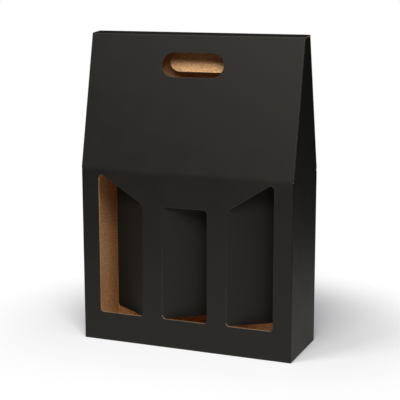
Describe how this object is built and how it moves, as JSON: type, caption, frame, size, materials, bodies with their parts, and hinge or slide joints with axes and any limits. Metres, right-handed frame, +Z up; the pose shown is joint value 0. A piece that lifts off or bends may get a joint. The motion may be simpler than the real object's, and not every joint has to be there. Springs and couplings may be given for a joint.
{
  "type": "bottle gift box",
  "caption": "Upright folding carton with a gable roof, a finger slot for carrying and front windows whose cut-out flaps fold inwards between the bottles.",
  "frame": {"origin": "middle of the base, on the surface that the box stands on", "axes": "+X to the right as seen from the front, +Y to the rear, +Z up"},
  "size_m": [0.25, 0.087, 0.3505],
  "materials": {
    "black_board": "matte black liner outside, brown kraft liner inside",
    "kraft_board": "bare brown kraft liner towards the viewer, black liner behind"
  },
  "bodies": {
    "sleeve": {"front_wall": "black_board", "rear_wall": "black_board", "left_side_wall": "black_board", "right_side_wall": "black_board", "side_seam_flap": "kraft_board", "front_bottom_flap": "black_board", "rear_bottom_flap": "kraft_board", "left_bottom_flap": "black_board", "right_bottom_flap": "black_board", "bottom_lock_tongue": "black_board"},
    "front_roof": {"front_roof_panel": "black_board"},
    "ridge": {"ridge_strip": "black_board"},
    "tuck": {"tuck_flap": "black_board"},
    "tuck_tongue": {"tuck_handle_tongue": "kraft_board"},
    "rear_roof": {"rear_roof_panel": "black_board"},
    "rear_tongue": {"rear_handle_tongue": "black_board"},
    "left_gusset": {"left_gusset": "black_board"},
    "right_gusset": {"right_gusset": "black_board"},
    "left_flap": {"left_window_flap": "black_board"},
    "middle_flap": {"middle_window_flap": "black_board"},
    "right_flap": {"right_window_flap": "black_board"}
  },
  "joints": [
    {"name": "front_roof_open", "type": "hinge", "parent": "sleeve", "child": "front_roof", "pos_m": [0, -0.0435, 0.198], "axis": [1, 0, 0], "range_deg": [0, 150]},
    {"name": "ridge_fold", "type": "hinge", "parent": "front_roof", "child": "ridge", "pos_m": [0, -0.0095, 0.349], "axis": [1, 0, 0], "range_deg": [0, 60]},
    {"name": "tuck_fold", "type": "hinge", "parent": "ridge", "child": "tuck", "pos_m": [0, 0.00769, 0.35036], "axis": [1, 0, 0], "range_deg": [0, 60]},
    {"name": "tuck_tongue_swing", "type": "hinge", "parent": "tuck", "child": "tuck_tongue", "pos_m": [0, 0.01021, 0.33217], "axis": [-1, 0, 0], "range_deg": [-33, 32]},
    {"name": "rear_roof_open", "type": "hinge", "parent": "sleeve", "child": "rear_roof", "pos_m": [0, 0.0435, 0.198], "axis": [-1, 0, 0], "range_deg": [0, 150]},
    {"name": "rear_tongue_swing", "type": "hinge", "parent": "rear_roof", "child": "rear_tongue", "pos_m": [0, 0.01343, 0.33289], "axis": [1, 0, 0], "range_deg": [0, 70]},
    {"name": "left_gusset_swing", "type": "hinge", "parent": "sleeve", "child": "left_gusset", "pos_m": [-0.125, 0, 0.198], "axis": [0, -1, 0], "range_deg": [-7, 110]},
    {"name": "right_gusset_swing", "type": "hinge", "parent": "sleeve", "child": "right_gusset", "pos_m": [0.125, 0, 0.198], "axis": [0, 1, 0], "range_deg": [-7, 110]},
    {"name": "left_flap_swing", "type": "hinge", "parent": "sleeve", "child": "left_flap", "pos_m": [-0.0495, -0.042, 0.0975], "axis": [0, 0, -1], "range_deg": [-33, 57]},
    {"name": "middle_flap_swing", "type": "hinge", "parent": "sleeve", "child": "middle_flap", "pos_m": [-0.02715, -0.042, 0.0975], "axis": [0, 0, 1], "range_deg": [-33, 57]},
    {"name": "right_flap_swing", "type": "hinge", "parent": "sleeve", "child": "right_flap", "pos_m": [0.0495, -0.042, 0.0975], "axis": [0, 0, 1], "range_deg": [-33, 57]}
  ],
  "couplings": [
    {"joint": "ridge_fold", "follows": "front_roof_open", "ratio": 0.4},
    {"joint": "tuck_fold", "follows": "front_roof_open", "ratio": 0.4}
  ]
}
